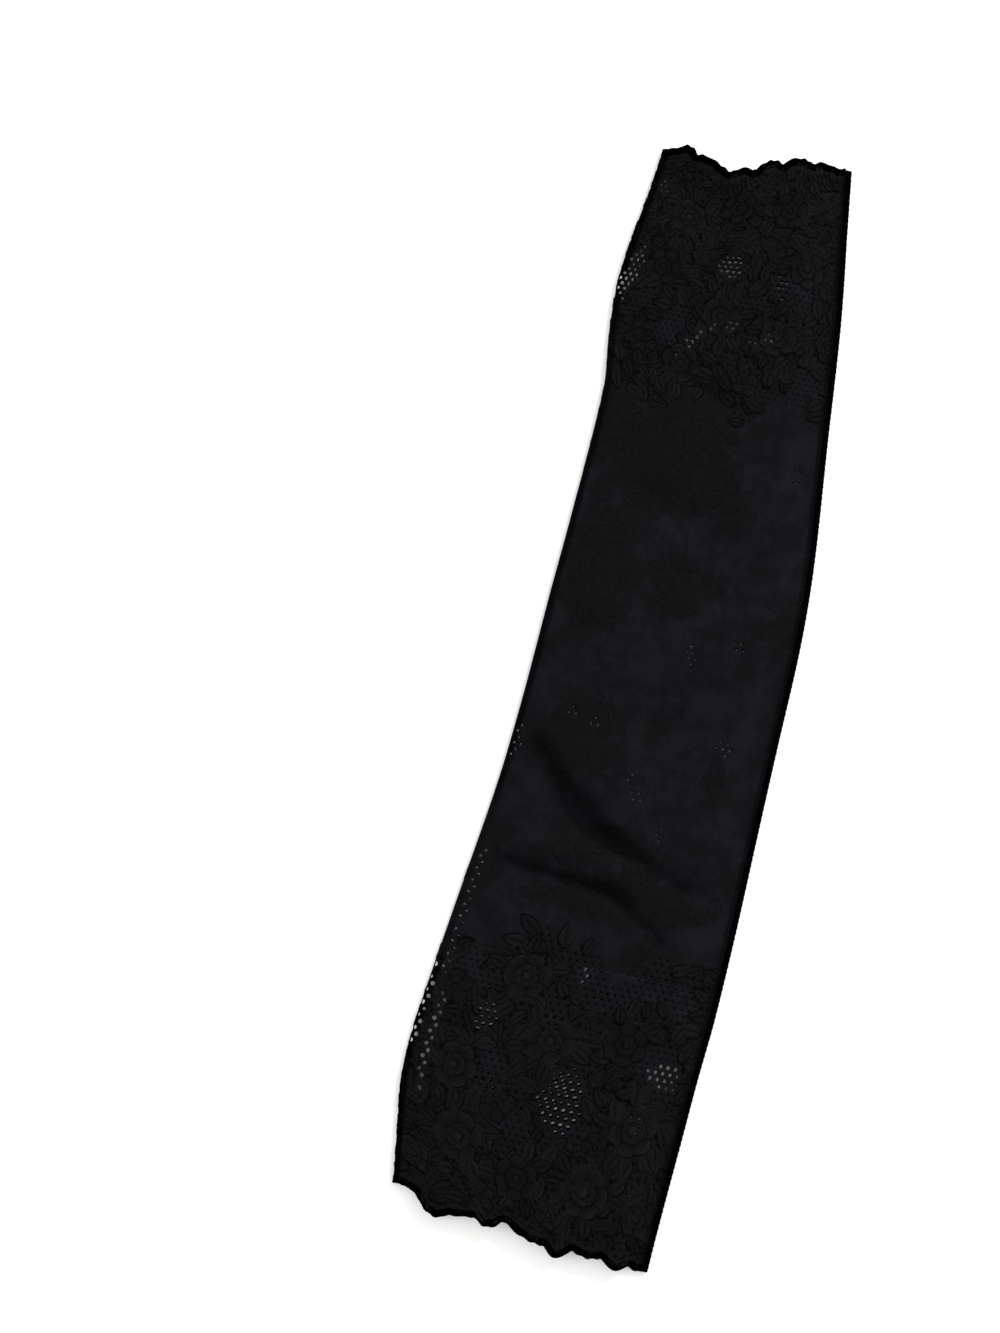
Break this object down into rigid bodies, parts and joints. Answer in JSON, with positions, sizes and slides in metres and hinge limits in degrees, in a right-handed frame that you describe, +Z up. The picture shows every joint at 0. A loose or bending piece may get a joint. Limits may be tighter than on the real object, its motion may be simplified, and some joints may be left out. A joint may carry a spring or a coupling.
{
  "type": "lace arm sleeve",
  "caption": "Tapered stretch-lace arm sleeve with scalloped corded hems and a side seam, open at the wrist and the upper arm, lying flat.",
  "frame": {"origin": "middle of the sleeve's footprint, on the surface that it lies on", "axes": "+Y along the sleeve from the upper arm to the wrist, +X across it from the fold to the seam, +Z up off the surface"},
  "size_m": [0.1192, 0.4498, 0.0101],
  "materials": {
    "lace": "matt stretch nylon lace, near black",
    "scallop_cord": "dense satin cord work, black",
    "seam_thread": "overlocked textured nylon thread, black"
  },
  "bodies": {
    "root": {"lace_panel": "lace", "wrist_scallop_edge": "scallop_cord", "arm_scallop_edge": "scallop_cord", "side_seam": "seam_thread"}
  },
  "joints": []
}
